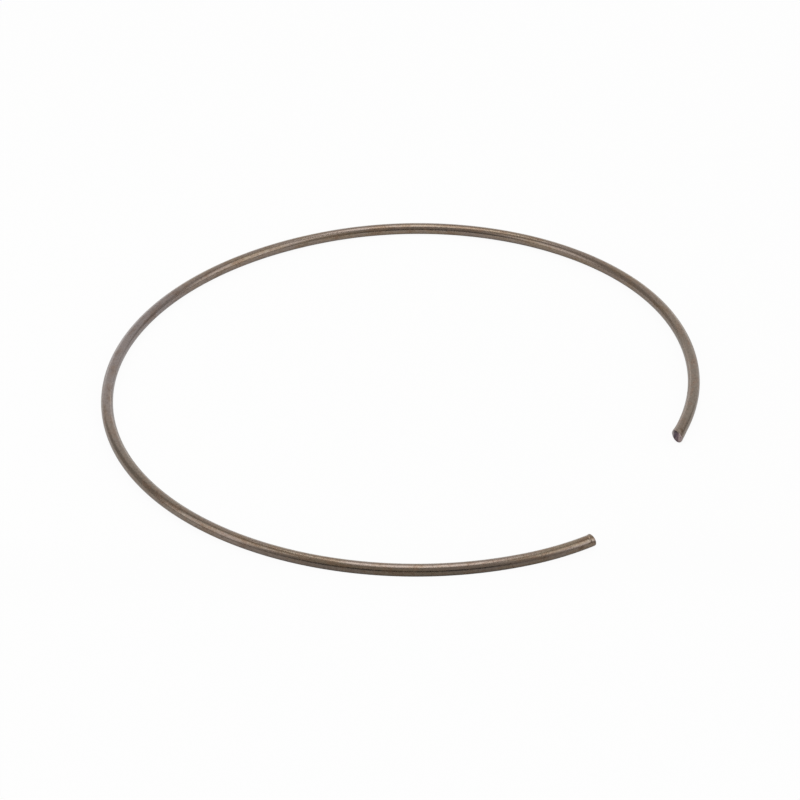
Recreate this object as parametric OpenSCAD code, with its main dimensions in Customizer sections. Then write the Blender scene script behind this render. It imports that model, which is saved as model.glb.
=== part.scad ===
// Spacer ring: one open ring of round spring wire, coiled flat.
// Seen from above the wire runs clockwise: a nearly square cut, a short start bend, three
// quarter turns of slightly different radius, a finish bend, and a slanted shear cut.
// The ring lies on z = 0, with the middle of its outline over the origin and its gap at +X.

/* [Wire] */
// Diameter of the wire
wire_d = 2; // [1:0.1:3]

/* [Bends] */
// Radius to the middle of the wire in the short bend at the start of the wire
start_bend_r = 42; // [36:0.5:58]
// Angle that the wire turns through in the start bend
start_bend_angle = 14.8; // [5:0.1:25]
// Radius to the middle of the wire in the first quarter turn
first_quarter_r = 52.5; // [46:0.5:58]
// Radius to the middle of the wire in the second quarter turn, opposite the gap
second_quarter_r = 54; // [46:0.5:58]
// Radius to the middle of the wire in the third quarter turn
third_quarter_r = 47; // [44:0.5:58]
// Radius to the middle of the wire in the bend at the finish of the wire
finish_bend_r = 53; // [46:0.5:58]
// Angle that the wire turns through in the finish bend
finish_bend_angle = 42; // [25:1:50]

/* [Ends] */
// Slant of the square cut at the start of the wire, whose outer side is left the longer
square_cut_slant = 4; // [0:1:20]
// Slant of the shear cut at the finish of the wire, whose outer side is left the longer
shear_cut_slant = 33; // [0:1:35]
// Width of the broken edge round each cut face
edge_break = 0.12; // [0.05:0.01:0.2]

/* [Hidden] */

$fn = 144;
// Sides of the wire's round section
section_sides = 36;
// Points on each bend that find the middle of the ring's outline
outline_steps = 60;
// Angle of spare wire on each end, for the cuts to trim off
spare_angle = 3;

bend_r = [start_bend_r, first_quarter_r, second_quarter_r, third_quarter_r, finish_bend_r];
bend_angle = [start_bend_angle, 90, 90, 90, finish_bend_angle];
last = len(bend_r) - 1;
cut_reach = max(bend_r) / 10;

function compass(angle) = [cos(angle), sin(angle)];

// Direction from a bend's centre to the joint where that bend starts, in the frame that the
// wire is bent in: the quarter turns meet on its axes. The joint after the last bend is the
// finish of the wire.
function joint_angle(i) = i == 0 ? start_bend_angle : joint_angle(i - 1) - bend_angle[i - 1];

// The centres of two bends that meet lie in line with their joint, which leaves no kink there.
function bend_centre(i) = i == 0
    ? [0, 0]
    : bend_centre(i - 1) + (bend_r[i - 1] - bend_r[i]) * compass(joint_angle(i));

function on_bend(i, angle) = bend_centre(i) + bend_r[i] * compass(angle);

// Direction of the middle of the gap, which the finished ring has at +X
gap_direction = (joint_angle(0) + joint_angle(last + 1) + 360) / 2;

function with_gap_at_x(point) = [
    point * compass(gap_direction),
    point * compass(gap_direction + 90)
];

outline = [
    for (i = [0 : last], step = [0 : outline_steps])
        with_gap_at_x(on_bend(i, joint_angle(i) - bend_angle[i] * step / outline_steps))
];
outline_x = [for (point = outline) point.x];
outline_y = [for (point = outline) point.y];
ring_middle = [min(outline_x) + max(outline_x), min(outline_y) + max(outline_y)] / 2;

// Bend i of the wire. The first and the last bend also carry the spare wire.
module bend(i) {
    spare_at_start = i == 0 ? spare_angle : 0;
    spare_at_finish = i == last ? spare_angle : 0;
    translate(bend_centre(i))
        rotate_extrude(
            start = joint_angle(i + 1) - spare_at_finish,
            angle = bend_angle[i] + spare_at_start + spare_at_finish
        )
            translate([bend_r[i], 0])
                circle(d = wire_d, $fn = section_sides);
}

// What a cut takes off a wire that ends at the origin and points along +X: everything past
// a flat face, and the sharp edge round that face.
module end_cut(slant) {
    face_r = wire_d / 2 / cos(slant);
    cone_h = wire_d;
    rotate([0, 90, 0])
        difference() {
            translate([0, 0, -cone_h])
                cylinder(r = cut_reach, h = cone_h + cut_reach);
            translate([0, 0, -cone_h])
                cylinder(r1 = face_r - edge_break + cone_h, r2 = face_r - edge_break, h = cone_h);
        }
}

module square_cut() {
    translate(on_bend(0, joint_angle(0)))
        rotate(joint_angle(0) + 90 + square_cut_slant)
            end_cut(square_cut_slant);
}

module shear_cut() {
    translate(on_bend(last, joint_angle(last + 1)))
        rotate(joint_angle(last + 1) - 90 - shear_cut_slant)
            end_cut(shear_cut_slant);
}

module spacer_ring() {
    color([0.49, 0.44, 0.40])
        translate([-ring_middle.x, -ring_middle.y, wire_d / 2])
            rotate(-gap_direction)
                difference() {
                    for (i = [0 : last]) bend(i);
                    square_cut();
                    shear_cut();
                }
}

spacer_ring();
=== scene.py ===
"""Spacer ring: one open ring of satin spring wire, lying flat on a pale floor in soft light.

The wire is modelled straight, with its two ends as the shears leave them, and then bent round
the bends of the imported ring. Lengths are in millimetres until a mesh, lamp or camera is made,
and angles are in degrees.
"""

from collections import namedtuple

import bpy
import numpy as np
from mathutils import Matrix, Vector, noise


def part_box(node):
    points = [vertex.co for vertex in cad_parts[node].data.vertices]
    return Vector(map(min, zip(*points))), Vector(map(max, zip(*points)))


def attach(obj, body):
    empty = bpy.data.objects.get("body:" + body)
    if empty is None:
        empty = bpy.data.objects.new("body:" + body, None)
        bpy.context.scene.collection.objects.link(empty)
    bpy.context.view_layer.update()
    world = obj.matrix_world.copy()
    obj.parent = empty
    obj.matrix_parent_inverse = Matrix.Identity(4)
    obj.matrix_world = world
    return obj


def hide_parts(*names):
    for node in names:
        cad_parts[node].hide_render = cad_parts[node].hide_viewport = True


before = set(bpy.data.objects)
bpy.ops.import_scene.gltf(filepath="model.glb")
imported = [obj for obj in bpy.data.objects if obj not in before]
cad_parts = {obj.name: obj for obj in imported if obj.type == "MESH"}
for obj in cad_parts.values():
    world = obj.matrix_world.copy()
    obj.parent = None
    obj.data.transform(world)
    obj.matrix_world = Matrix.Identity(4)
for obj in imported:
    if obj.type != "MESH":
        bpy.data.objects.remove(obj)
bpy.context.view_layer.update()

MM = 0.001
ring_low, ring_high = (np.array(corner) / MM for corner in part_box("spacer_ring"))
ring_middle = (ring_low + ring_high) / 2
wire_r = (ring_high[2] - ring_low[2]) / 2


# ---------------------------------------------------------------------- the bends

Bend = namedtuple("Bend", "radius angle")
BENDS = (
    Bend(radius=42.0, angle=14.8),
    Bend(radius=52.5, angle=90.0),
    Bend(radius=54.0, angle=90.0),
    Bend(radius=47.0, angle=90.0),
    Bend(radius=53.0, angle=42.0),
)

# How many points along the middle line give its box.
LINE_POINTS = 5000


def compass(angle):
    """The unit vector at an angle in radians, or one for each angle of an array."""
    return np.stack([np.cos(angle), np.sin(angle)], axis=-1)


class Run:
    """The middle line of a wire that is bent clockwise with no kink, with its gap at +X."""

    def __init__(self, bends, middle):
        turn = np.radians([bend.angle for bend in bends])
        self.radius = np.array([bend.radius for bend in bends])
        self.angle = turn.sum() / 2 - np.pi - self.sum_before(turn)
        self.start = self.sum_before(self.radius * turn)
        self.length = (self.radius * turn).sum()
        steps = (self.radius[:-1] - self.radius[1:])[:, None] * compass(self.angle[1:])
        self.centre = np.concatenate([np.zeros((1, 2)), np.cumsum(steps, axis=0)])
        line, _ = self.at(np.linspace(0, self.length, LINE_POINTS))
        self.centre += middle - (line.min(axis=0) + line.max(axis=0)) / 2

    @staticmethod
    def sum_before(values):
        return np.cumsum(values) - values

    def at(self, along):
        """The points of the line, and the outward directions there, at distances along it."""
        bend = (np.searchsorted(self.start, along, side="right") - 1).clip(0)
        angle = self.angle[bend] - (along - self.start[bend]) / self.radius[bend]
        outward = compass(angle)
        return self.centre[bend] + self.radius[bend][..., None] * outward, outward


run = Run(BENDS, ring_middle[:2])


# ---------------------------------------------------------------------- the cut ends

SIDES = 64
PLAIN_STEP = 0.4

# The wire differs from plain wire for END_REACH behind each cut. The rings there lie closer
# together towards the cut, and the relief of a cut face fades out towards its edge.
END_REACH = 4.0
END_RINGS = 40
END_CROWDING = 1.6
EDGE_RINGS = 7
FACE_RINGS = 18
FACE_FADE = 6

# A side of the wire is an angle round it: 0 faces outward from the ring, 90 up, 180 inward.
side = np.linspace(0, 2 * np.pi, SIDES, endpoint=False)
side_out, side_up = np.cos(side), np.sin(side)


def rough(out, up, size, seed):
    """Smooth seeded noise over a cut face, about -1 to 1, with lumps of that size."""
    points = np.stack([out / size, up / size, np.full_like(out, seed)], axis=-1)
    flat = [noise.noise(Vector(point)) for point in points.reshape(-1, 3)]
    return np.array(flat).reshape(out.shape)


def step_up(low, high, x):
    """0 below low, 1 above high, and a smooth rise between."""
    x = ((x - low) / (high - low)).clip(0, 1)
    return x * x * (3 - 2 * x)


def bump_at(depth, middle, width):
    """1 at one depth behind the cut, and a smooth fall to 0 on both sides."""
    return np.exp(-(((depth - middle) / width) ** 2))


def facing(angle, sharpness=2):
    """1 on one side of the wire, and a smooth fall to 0 a quarter turn from there."""
    return np.cos(side - np.radians(angle)).clip(0) ** sharpness


# Extra rounding of the broken edge, on one side.
Rounding = namedtuple("Rounding", "angle extra")

# A burr or bulge of the wire on one side, at a depth behind the cut. A pinch has a height below 0.
Swell = namedtuple("Swell", "angle sharpness depth width height")

# Where a cut face is torn, which is towards one side. The tear sets in from low to high across
# the face, along a line that wanders, and its floor is sunk and has a grain.
Tear = namedtuple("Tear", "angle low high wander wander_size sink grain grain_size seed")

End = namedtuple("End", "at into slant lean edge roundings edge_is_cut swells tear")


class CutEnd(End):
    """One end of the wire.

    at, into: where the cut is along the wire, and which way the wire goes from there
    slant, lean: how far the cut is off square, and the side on which the wire is longest
    edge, roundings: the radius of the broken edge, and what some sides add to it
    edge_is_cut: whether the broken edge has the finish of the cut face
    swells: the burrs, bulges and pinches of the wire near the cut
    tear: the part of the cut face where the wire broke off
    """

    def edge_radius(self):
        return self.edge + sum(more.extra * facing(more.angle) for more in self.roundings)

    def radius(self, depth):
        """The radius of each side at a depth behind the cut."""
        radius = wire_r
        for swell in self.swells:
            there = bump_at(depth, swell.depth, swell.width) * facing(swell.angle, swell.sharpness)
            radius = radius + swell.height * there
        return radius

    def relief(self, out, up):
        """How deep the cut face is sunk at places on it."""
        tear = self.tear
        towards_out, towards_up = compass(np.radians(tear.angle))
        across = towards_out * out + towards_up * up
        across = across + tear.wander * rough(out, up, tear.wander_size, tear.seed)
        grain = tear.grain * rough(out, up, tear.grain_size, tear.seed + 1)
        return step_up(tear.low, tear.high, across) * (tear.sink + grain)

    def cut_bands(self):
        """How many bands of faces have the finish of the cut face."""
        return FACE_RINGS - 1 + (EDGE_RINGS if self.edge_is_cut else 0)


# Cut nearly square, with a burr on its inner upper edge and a slight pinch behind it.
SQUARE_END = CutEnd(
    at=0.0,
    into=1,
    slant=6,
    lean=-40,
    edge=0.05,
    roundings=(Rounding(angle=110, extra=0.06),),
    edge_is_cut=False,
    swells=(
        Swell(angle=125, sharpness=5, depth=0, width=0.22, height=0.09),
        Swell(angle=40, sharpness=1, depth=0.85, width=0.13, height=-0.05),
    ),
    tear=Tear(
        angle=90,
        low=-0.10,
        high=0.25,
        wander=0.15,
        wander_size=0.50,
        sink=0.030,
        grain=0.015,
        grain_size=0.12,
        seed=3,
    ),
)

# Sheared at a slant: bulged sideways and flattened, smooth outside and torn inside.
SHEARED_END = CutEnd(
    at=run.length + 0.32,
    into=-1,
    slant=34,
    lean=0,
    edge=0.10,
    roundings=(Rounding(angle=0, extra=0.22), Rounding(angle=180, extra=0.20)),
    edge_is_cut=True,
    swells=(
        Swell(angle=0, sharpness=2, depth=0, width=1.8, height=0.15),
        Swell(angle=90, sharpness=2, depth=0, width=1.8, height=-0.03),
        Swell(angle=180, sharpness=2, depth=0, width=1.8, height=0.10),
        Swell(angle=270, sharpness=2, depth=0, width=1.8, height=-0.03),
    ),
    tear=Tear(
        angle=180,
        low=-0.45,
        high=-0.15,
        wander=0.20,
        wander_size=0.60,
        sink=0.060,
        grain=0.030,
        grain_size=0.20,
        seed=1,
    ),
)


def rings_of_end(end):
    """Rings of points (out, up, along), from near the middle of the cut face to plain wire."""
    slope = np.tan(np.radians(end.slant)) * np.cos(side - np.radians(end.lean))
    rings = []

    def ring(radius, depth):
        overhang = radius * slope * (1 - depth / END_REACH)
        along = end.at + end.into * (depth - overhang)
        rings.append(np.stack([radius * side_out, radius * side_up, along], axis=-1))

    edge = end.edge_radius()
    rim = end.radius(edge)
    for share in np.arange(1, FACE_RINGS + 1) / FACE_RINGS:
        radius = share * (rim - edge)
        fade = 1 - share**FACE_FADE
        ring(radius, fade * end.relief(radius * side_out, radius * side_up))
    for turn in np.arange(1, EDGE_RINGS + 1) / EDGE_RINGS * np.pi / 2:
        ring(rim - edge * (1 - np.sin(turn)), edge * (1 - np.cos(turn)))
    for share in (np.arange(1, END_RINGS + 1) / END_RINGS) ** END_CROWDING:
        depth = edge + (END_REACH - edge) * share
        ring(end.radius(depth), depth)
    return rings


def straight_wire():
    """The rings of the whole wire, from the middle of one cut face to that of the other."""
    plain = [
        np.column_stack([wire_r * side_out, wire_r * side_up, np.full(SIDES, along)])
        for along in np.arange(END_REACH + PLAIN_STEP, run.length - END_REACH, PLAIN_STEP)
    ]
    return np.array(rings_of_end(SQUARE_END) + plain + rings_of_end(SHEARED_END)[::-1])


def bent(straight):
    """Where points (out, up, along) of the straight wire are on the ring."""
    line, outward = run.at(straight[..., 2])
    flat = line + straight[..., :1] * outward
    return np.concatenate([flat, ring_middle[2] + straight[..., 1:2]], axis=-1)


def wire_mesh():
    """The whole wire as one closed mesh, which keeps each point's place on the straight wire."""
    rings = straight_wire()
    middles = np.array([rings[0].mean(axis=0), rings[-1].mean(axis=0)])
    points = np.concatenate([rings.reshape(-1, 3), middles])
    bands = len(rings) - 1
    last_ring = bands * SIDES
    first_middle = len(rings) * SIDES
    last_middle = first_middle + 1
    faces, on_cut = [], []
    for j in range(SIDES):
        k = (j + 1) % SIDES
        faces.append((first_middle, k, j))
        faces.append((last_middle, last_ring + j, last_ring + k))
        on_cut += [True, True]
        for i in range(bands):
            faces.append((i * SIDES + j, i * SIDES + k, (i + 1) * SIDES + k, (i + 1) * SIDES + j))
            on_cut.append(i < SQUARE_END.cut_bands() or i >= bands - SHEARED_END.cut_bands())
    mesh = bpy.data.meshes.new("wire")
    mesh.from_pydata((bent(points) * MM).tolist(), [], faces)
    mesh.polygons.foreach_set("use_smooth", [True] * len(faces))
    mesh.polygons.foreach_set("material_index", on_cut)
    places = mesh.attributes.new("unbent", "FLOAT_VECTOR", "POINT")
    places.data.foreach_set("vector", points.astype(np.float32).ravel())
    return mesh


# ---------------------------------------------------------------------- finishes

Coat = namedtuple("Coat", "colour cover")


def colour(red, green, blue):
    return (red, green, blue, 1.0)


def grey(level):
    return colour(level, level, level)


def between(off, on, mask):
    """A number that goes from off to on as a mask goes from 0 to 1."""
    return off + (on - off) * mask


class Shade:
    """One output of a node. An expression on it adds Math nodes, so it holds a number."""

    def __init__(self, socket):
        self.socket = socket

    def math(self, operation, *values):
        finish = Finish(self.socket.id_data)
        return finish.add("Math", dict(enumerate(values)), {"operation": operation})

    def __add__(self, other):
        return self.math("ADD", self, other)

    def __sub__(self, other):
        return self.math("SUBTRACT", self, other)

    def __rsub__(self, other):
        return self.math("SUBTRACT", other, self)

    def __mul__(self, other):
        return self.math("MULTIPLY", self, other)

    def clamped(self):
        return self.math("MINIMUM", self.math("MAXIMUM", self, 0), 1)

    __radd__ = __add__
    __rmul__ = __mul__


# Which sockets of a Mix node are its two colours and its mixed colour.
MIX_UNDER, MIX_OVER, MIXED = 6, 7, 2


class Finish:
    """A node tree that a material or the world is painted with."""

    def __init__(self, tree):
        self.tree = tree

    def add(self, kind, values=None, settings=None, output=0):
        """A new node. Its settings go in first, then the values or links of its sockets."""
        node = self.tree.nodes.new("ShaderNode" + kind)
        for name, setting in (settings or {}).items():
            setattr(node, name, setting)
        for name, value in (values or {}).items():
            socket = node.inputs[name]
            if isinstance(value, Shade):
                self.tree.links.new(value.socket, socket)
            else:
                socket.default_value = value
        return Shade(node.outputs[output]) if len(node.outputs) else None

    def vector_math(self, operation, first, second, output="Vector"):
        return self.add("VectorMath", {0: first, 1: second}, {"operation": operation}, output)

    def noise(self, where, scale, detail, roughness=0.5, stretch=(1, 1, 1)):
        """Noise of about 0 to 1. It is drawn out along an axis whose stretch is below 1."""
        place = self.vector_math("MULTIPLY", where, stretch)
        values = {"Vector": place, "Scale": scale, "Detail": detail, "Roughness": roughness}
        return self.add("TexNoise", values)

    def ramp(self, value, low, high):
        """0 up to low, 1 from high, and a smooth rise between."""
        values = {"Value": value, "From Min": low, "From Max": high}
        return self.add("MapRange", values, {"interpolation_type": "SMOOTHSTEP"})

    def within(self, along, stretch):
        """1 inside one stretch of the wire and 0 outside it, with soft ends."""
        risen = self.ramp(along, stretch.start, stretch.full)
        return risen * (1 - self.ramp(along, stretch.fade, stretch.end))

    def tinted(self, under, over, mask):
        """A colour that goes from one to another as a mask goes from 0 to 1."""
        values = {"Factor": mask, MIX_UNDER: under, MIX_OVER: over}
        return self.add("Mix", values, {"data_type": "RGBA"}, MIXED)

    def coated(self, under, coat, mask):
        """A colour with a coat over it where the mask is 1."""
        return self.tinted(under, coat.colour, coat.cover * mask)

    def bump(self, height, distance, under=None):
        values = {"Height": height, "Distance": distance * MM}
        if under is not None:
            values["Normal"] = under
        return self.add("Bump", values)

    def glow(self, level):
        """Light of the surface's own, from 0, which is black, to 1, which is white."""
        return self.add("Emission", {"Color": grey(level), "Strength": 1.0})


def new_finish(name):
    material = bpy.data.materials.new(name)
    material.use_nodes = True
    material.node_tree.nodes.clear()
    return material, Finish(material.node_tree)


def unbent(finish):
    """The place on the straight wire, as the mesh keeps it."""
    return finish.add("Attribute", None, {"attribute_name": "unbent"}, "Vector")


# The film on the drawn wire, from warm to cool, and the coats over it in their order.
WARM = colour(0.266, 0.211, 0.154)
COOL = colour(0.256, 0.204, 0.174)
DULLED = Coat(colour(0.230, 0.189, 0.156), cover=1.0)
GREYED = Coat(colour(0.266, 0.229, 0.226), cover=1.0)
DARKENED = Coat(colour(0.130, 0.080, 0.050), cover=0.35)
RUSTY = Coat(colour(0.240, 0.130, 0.078), cover=0.45)
PITTED = Coat(colour(0.110, 0.078, 0.056), cover=0.52)
WORN = Coat(colour(0.360, 0.305, 0.250), cover=0.52)
# Dark coat of the marks near the ends: stains, and painted shade near the cuts.
STAINED_AND_SHADED = Coat(DARKENED.colour, cover=0.70)
# Pale coat of the marks near the ends: wear, and painted highlight.
SCUFFED_AND_HIGHLIT = Coat(WORN.colour, cover=0.45)

RUST_ON_GREY = 0.5
RUST_METALLIC = 0.65
FILM_ROUGHNESS = 0.25
WORN_ROUGHNESS = 0.19
DIE_MARK_DEPTH = 0.002
GRAIN_DEPTH = 0.004

# Where the film is greyed or dulled, in distances along the wire.
Stretch = namedtuple("Stretch", "start full fade end")
GREY_STRETCH = Stretch(start=85, full=122, fade=140, end=152)
DULL_STRETCHES = (
    Stretch(start=58, full=72, fade=90, end=108),
    Stretch(start=246, full=262, fade=run.length, end=run.length + 10),
)

# The marks near the ends, each at an angle round the wire and a distance along it. A mark is
# full up to one share of its size and gone at another, give or take the raggedness.
Mark = namedtuple("Mark", "angle along size")
# The pale marks: partly wear, partly painted highlight on the band where the wire's sheen falls,
# beside the pinch behind the square cut.
SCUFF_AND_HIGHLIGHT_LENGTH = 1.0
SCUFFS_AND_PAINTED_HIGHLIGHTS = (
    Mark(angle=36, along=0.45, size=0.28),
    Mark(angle=42, along=1.05, size=0.32),
    Mark(angle=78, along=run.length - 0.30, size=0.32),
    Mark(angle=64, along=run.length - 0.05, size=0.28),
)
# The dark marks: partly stains, partly painted shade near the cut and along the pinch behind the
# square cut, and a painted dark reflection below the highlight.
STAIN_AND_SHADE_LENGTH = 2.0
STAINS_AND_PAINTED_SHADE = (
    Mark(angle=57, along=0.20, size=0.28),
    Mark(angle=9, along=0.35, size=0.25),
    Mark(angle=20, along=0.85, size=0.30),
    Mark(angle=6, along=2.70, size=0.40),
    Mark(angle=54, along=run.length - 0.50, size=0.32),
    Mark(angle=69, along=run.length - 0.80, size=0.32),
)
MARK_FULL = 0.2
MARK_GONE = 1.1
RAGGEDNESS = 0.8


def spots(finish, where, marks, length, ragged):
    """1 on the marks and 0 off them, with ragged edges. Each is drawn out along the wire."""
    drawn_out = finish.vector_math("MULTIPLY", where, (1, 1, 1 / length))
    total = 0
    for mark in marks:
        out, up = wire_r * compass(np.radians(mark.angle))
        gap = finish.vector_math("DISTANCE", drawn_out, (out, up, mark.along / length), "Value")
        gap = gap + RAGGEDNESS * (ragged - 0.5)
        total = total + (1 - finish.ramp(gap, MARK_FULL * mark.size, MARK_GONE * mark.size))
    return total.clamped()


def drawn_steel():
    """Bronze-brown satin spring wire, with a patchy film and fine marks of the drawing die."""
    material, finish = new_finish("drawn_steel")
    where = unbent(finish)
    drift = finish.noise(where, scale=0.8, detail=2, stretch=(1, 1, 0.10))
    patches = finish.noise(where, scale=0.9, detail=3, stretch=(1, 1, 0.30))
    mottle = finish.noise(where, scale=2.2, detail=3, roughness=0.6, stretch=(1, 1, 0.60))
    streaks = finish.noise(where, scale=7.0, detail=2, stretch=(1, 1, 0.05))
    grain = finish.noise(where, scale=3.6, detail=3, roughness=0.7, stretch=(1, 1, 0.80))

    along = finish.add("SeparateXYZ", {"Vector": where}, output="Z")
    warmth = finish.ramp(0.6 * drift + 0.4 * patches, low=0.43, high=0.57)
    dulled = sum(finish.within(along, stretch) for stretch in DULL_STRETCHES)
    greyed = finish.within(along, GREY_STRETCH)
    darkened = finish.ramp(patches, low=0.50, high=0.66)
    rust = finish.ramp(0.2 * drift + 0.3 * patches + 0.5 * mottle, low=0.46, high=0.60)
    rust = rust * between(1.0, RUST_ON_GREY, greyed)
    pits = 1 - finish.ramp(grain, low=0.34, high=0.44)
    worn_grain = finish.ramp(grain, low=0.48, high=0.66)
    worn_streaks = finish.ramp(streaks, low=0.50, high=0.75)
    worn = 0.6 * worn_grain + 0.4 * worn_streaks

    film = finish.tinted(COOL, WARM, warmth)
    film = finish.coated(film, DULLED, dulled)
    film = finish.coated(film, GREYED, greyed)
    film = finish.coated(film, DARKENED, darkened)
    film = finish.coated(film, RUSTY, rust)
    film = finish.coated(film, PITTED, pits)
    film = finish.coated(film, WORN, worn)
    # Stains, and painted shade and dark reflection, near the ends.
    film = finish.coated(film, STAINED_AND_SHADED, spots(finish, where, STAINS_AND_PAINTED_SHADE, STAIN_AND_SHADE_LENGTH, mottle))
    # Wear, and painted highlight, near the ends.
    film = finish.coated(film, SCUFFED_AND_HIGHLIT, spots(finish, where, SCUFFS_AND_PAINTED_HIGHLIGHTS, SCUFF_AND_HIGHLIGHT_LENGTH, mottle))

    surface = {
        "Base Color": film,
        "Metallic": between(1.0, RUST_METALLIC, rust),
        "Roughness": between(FILM_ROUGHNESS, WORN_ROUGHNESS, worn),
        "Normal": finish.bump(grain, GRAIN_DEPTH, finish.bump(streaks, DIE_MARK_DEPTH)),
    }
    finish.add("OutputMaterial", {"Surface": finish.add("BsdfPrincipled", surface)})
    return material


# The cut faces: the torn part, from plum to maroon, and the coats over it in their order.
PLUM = colour(0.105, 0.076, 0.100)
MAROON = colour(0.170, 0.100, 0.112)
# Darker towards the upper inner edge of each cut face.
UPPER_DARKENING = Coat(colour(0.050, 0.040, 0.044), cover=0.8)
GROOVED = Coat(colour(0.345, 0.270, 0.262), cover=0.6)
SLID = Coat(GROOVED.colour, cover=1.0)
# Light grey on the inner rim of the cut faces: the rolled edge's burnish, and a painted highlight
# of the rounded edge.
ROLLED_AND_HIGHLIT = Coat(colour(0.400, 0.365, 0.365), cover=0.9)

# How far the lumps shift the edges of the coats, and how the darkening towards the upper inner edge
# slopes across the face.
COAT_WANDER = 0.5
UPPER_DARKENING_WANDER = 0.6
UPPER_DARKENING_SLOPE = 0.4

CUT_METALLIC = 0.9
TORN_ROUGHNESS = 0.50
SLID_ROUGHNESS = 0.35
LUMP_DEPTH = 0.05
GROOVE_SHARE = 0.5


def sheared_steel():
    """The cut faces: bare and smooth where the blade slid, dark and torn where it broke off."""
    material, finish = new_finish("sheared_steel")
    where = unbent(finish)
    out = finish.add("SeparateXYZ", {"Vector": where}, output="X")
    up = finish.add("SeparateXYZ", {"Vector": where}, output="Y")
    lumps = finish.noise(where, scale=2.2, detail=3, roughness=0.6)
    grooves = finish.noise(where, scale=4.5, detail=2, stretch=(1, 0.3, 1))

    across = out + COAT_WANDER * (lumps - 0.5)
    above = up - UPPER_DARKENING_SLOPE * out + UPPER_DARKENING_WANDER * (lumps - 0.5)
    redness = finish.ramp(across, low=-0.20, high=0.50)
    upper_darkening = finish.ramp(above, low=0.55, high=0.85)
    grooved = finish.ramp(grooves, low=0.50, high=0.64)
    slid = finish.ramp(across, low=0.30, high=0.55)
    # The inner rim is lighter: burnish, and painted edge highlight.
    rolled_and_highlit = 1 - finish.ramp(across, low=-0.76, high=-0.52)

    bare = finish.tinted(PLUM, MAROON, redness)
    bare = finish.coated(bare, UPPER_DARKENING, upper_darkening)
    bare = finish.coated(bare, GROOVED, grooved)
    bare = finish.coated(bare, SLID, slid)
    bare = finish.coated(bare, ROLLED_AND_HIGHLIT, rolled_and_highlit)

    surface = {
        "Base Color": bare,
        "Metallic": CUT_METALLIC,
        "Roughness": between(TORN_ROUGHNESS, SLID_ROUGHNESS, slid),
        "Normal": finish.bump(lumps + GROOVE_SHARE * grooves, LUMP_DEPTH),
    }
    finish.add("OutputMaterial", {"Surface": finish.add("BsdfPrincipled", surface)})
    return material


wire = bpy.data.objects.new("wire", wire_mesh())
bpy.context.scene.collection.objects.link(wire)
wire.data.materials.append(drawn_steel())
wire.data.materials.append(sheared_steel())
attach(wire, "root")
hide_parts("spacer_ring")


# ---------------------------------------------------------------------- the studio

VIEW_AZIMUTH = 40.15
VIEW_ELEVATION = 32.77
VIEW_ROLL = -0.758
VIEW_DISTANCE = 506.65
VIEW_AIM = Vector((1.030, -3.738, 0.0))
SENSOR = 36.0
LENS = 135.63
CLIP_NEAR = 10
CLIP_FAR = 50000

ROOM_TINT = colour(1.0, 0.96, 0.89)
ROOM_STRENGTH = 0.44
DAYLIGHT = (0.975, 1.0, 1.035)

# The floor has a darker colour from DIM_START to DIM_FULL in front of the ring's middle, a painted
# shade for the front of the wire to mirror. A whiteness is the share of its own even white in
# what a ray meets, and the rest is the floor as the lamps light it.
FLOOR_SIZE = (8000, 8000)
FLOOR_LEVEL = 0.88
PAINTED_SHADE_LEVEL = 0.45
DIM_START = 40
DIM_FULL = 62
SEEN_WHITENESS = 0.94
DIM_SEEN_WHITENESS = 0.98
MIRRORED_WHITENESS = 0.2


def direction(azimuth, elevation):
    """Unit vector from the ring towards a place round it. Azimuth 0 is at -Y, 90 at +X."""
    azimuth, elevation = np.radians([azimuth, elevation])
    flat = np.cos(elevation)
    return Vector((np.sin(azimuth) * flat, -np.cos(azimuth) * flat, np.sin(elevation)))


def add_camera():
    data = bpy.data.cameras.new("camera")
    data.sensor_width = SENSOR
    data.lens = LENS
    data.clip_start = CLIP_NEAR * MM
    data.clip_end = CLIP_FAR * MM
    camera = bpy.data.objects.new("camera", data)
    bpy.context.scene.collection.objects.link(camera)
    back = direction(VIEW_AZIMUTH, VIEW_ELEVATION)
    turn = back.to_track_quat("Z", "Y").to_matrix() @ Matrix.Rotation(np.radians(VIEW_ROLL), 3, "Z")
    place = (VIEW_AIM + back * VIEW_DISTANCE) * MM
    camera.matrix_world = Matrix.LocRotScale(place, turn.to_quaternion(), None)
    bpy.context.scene.camera = camera


def face_ring(thing, azimuth, elevation, reach):
    """Put a lamp or a card round the ring and turn it to it. Azimuth 0 is the camera's."""
    bpy.context.scene.collection.objects.link(thing)
    towards = direction(VIEW_AZIMUTH + azimuth, elevation)
    thing.location = towards * reach * MM
    thing.rotation_mode = "QUATERNION"
    thing.rotation_quaternion = towards.to_track_quat("Z", "Y")
    thing.visible_camera = False


def softbox(name, azimuth, elevation, reach, size, strength):
    """A lamp with an even face, which adds its strength to the room's."""
    data = bpy.data.lights.new(name, "AREA")
    data.shape = "RECTANGLE"
    data.size, data.size_y = (length * MM for length in size)
    data.energy = strength * np.pi * data.size * data.size_y
    data.color = DAYLIGHT
    face_ring(bpy.data.objects.new(name, data), azimuth, elevation, reach)


def flat_card(name, size, material):
    """A rectangle round the origin, facing up."""
    mesh = bpy.data.meshes.new(name)
    x, y = (length * MM / 2 for length in size)
    mesh.from_pydata([(-x, -y, 0), (x, -y, 0), (x, y, 0), (-x, y, 0)], [], [(0, 1, 2, 3)])
    mesh.materials.append(material)
    return bpy.data.objects.new(name, mesh)


def flag(name, azimuth, elevation, reach, size, level):
    """A dark card that keeps the pale room out of one side of the wire's reflections."""
    material, finish = new_finish(name)
    finish.add("OutputMaterial", {"Surface": finish.glow(level)})
    card = flat_card(name, size, material)
    face_ring(card, azimuth, elevation, reach)


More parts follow.
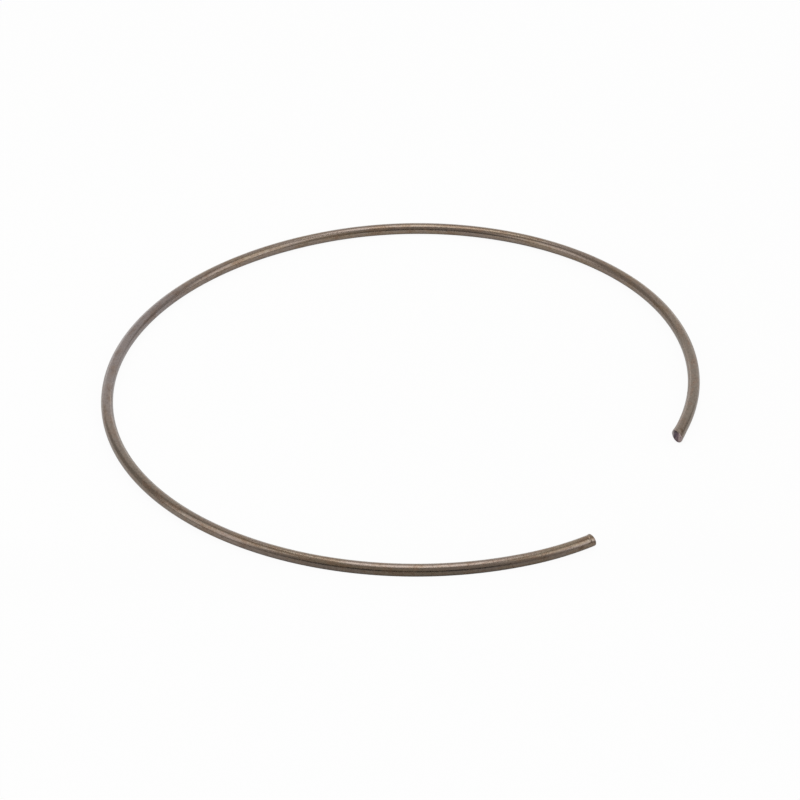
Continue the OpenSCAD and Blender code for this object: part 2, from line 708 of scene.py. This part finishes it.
def pale_floor():
    """Nearly white to the camera, with the ring's shadow, dimmer in reflections, and with painted
    shade in front of the ring.
    """
    material, finish = new_finish("pale_floor")
    place = finish.add("NewGeometry", output="Position")
    forward = finish.vector_math("DOT_PRODUCT", place, direction(VIEW_AZIMUTH, 0), "Value")
    painted_shade_mask = finish.ramp(forward, DIM_START * MM, DIM_FULL * MM)
    seen = finish.add("LightPath", output="Is Camera Ray")
    mirrored = finish.add("LightPath", output="Is Glossy Ray")
    behind_glass = finish.add("LightPath", output="Is Transmission Ray")
    white = between(SEEN_WHITENESS, DIM_SEEN_WHITENESS, painted_shade_mask) * seen
    white = white + MIRRORED_WHITENESS * (1 - painted_shade_mask) * (mirrored + behind_glass)
    pale = finish.add("BsdfDiffuse", {"Color": grey(FLOOR_LEVEL)})
    # Painted shade: a darker floor colour in front of the ring.
    painted_shade = finish.add("BsdfDiffuse", {"Color": grey(PAINTED_SHADE_LEVEL)})
    lit = finish.add("MixShader", {0: painted_shade_mask, 1: pale, 2: painted_shade})
    floor = finish.add("MixShader", {0: white, 1: lit, 2: finish.glow(1)})
    finish.add("OutputMaterial", {"Surface": floor})
    return material


def add_floor():
    floor = flat_card("floor", FLOOR_SIZE, pale_floor())
    bpy.context.scene.collection.objects.link(floor)


def add_world():
    world = bpy.data.worlds.new("pale_room")
    bpy.context.scene.world = world
    world.use_nodes = True
    world.node_tree.nodes.clear()
    finish = Finish(world.node_tree)
    room = finish.add("Background", {"Color": ROOM_TINT, "Strength": ROOM_STRENGTH})
    finish.add("OutputWorld", {"Surface": room})


add_camera()
add_floor()
add_world()
softbox("overhead_softbox", azimuth=185, elevation=83.5, reach=515, size=(252, 400), strength=2.0)
softbox("right_softbox", azimuth=73.5, elevation=36.5, reach=2500, size=(1750, 2500), strength=1.22)
softbox("left_softbox", azimuth=-70, elevation=31, reach=250, size=(146, 204), strength=1.09)
softbox("pale_back_wall", azimuth=173, elevation=27, reach=800, size=(1480, 900), strength=0.40)
softbox("low_back_light", azimuth=188, elevation=6, reach=800, size=(1200, 236), strength=0.52)
flag("camera_side_flag", azimuth=-7, elevation=7, reach=800, size=(1180, 300), level=0.02)

bpy.context.scene.view_settings.view_transform = "Standard"
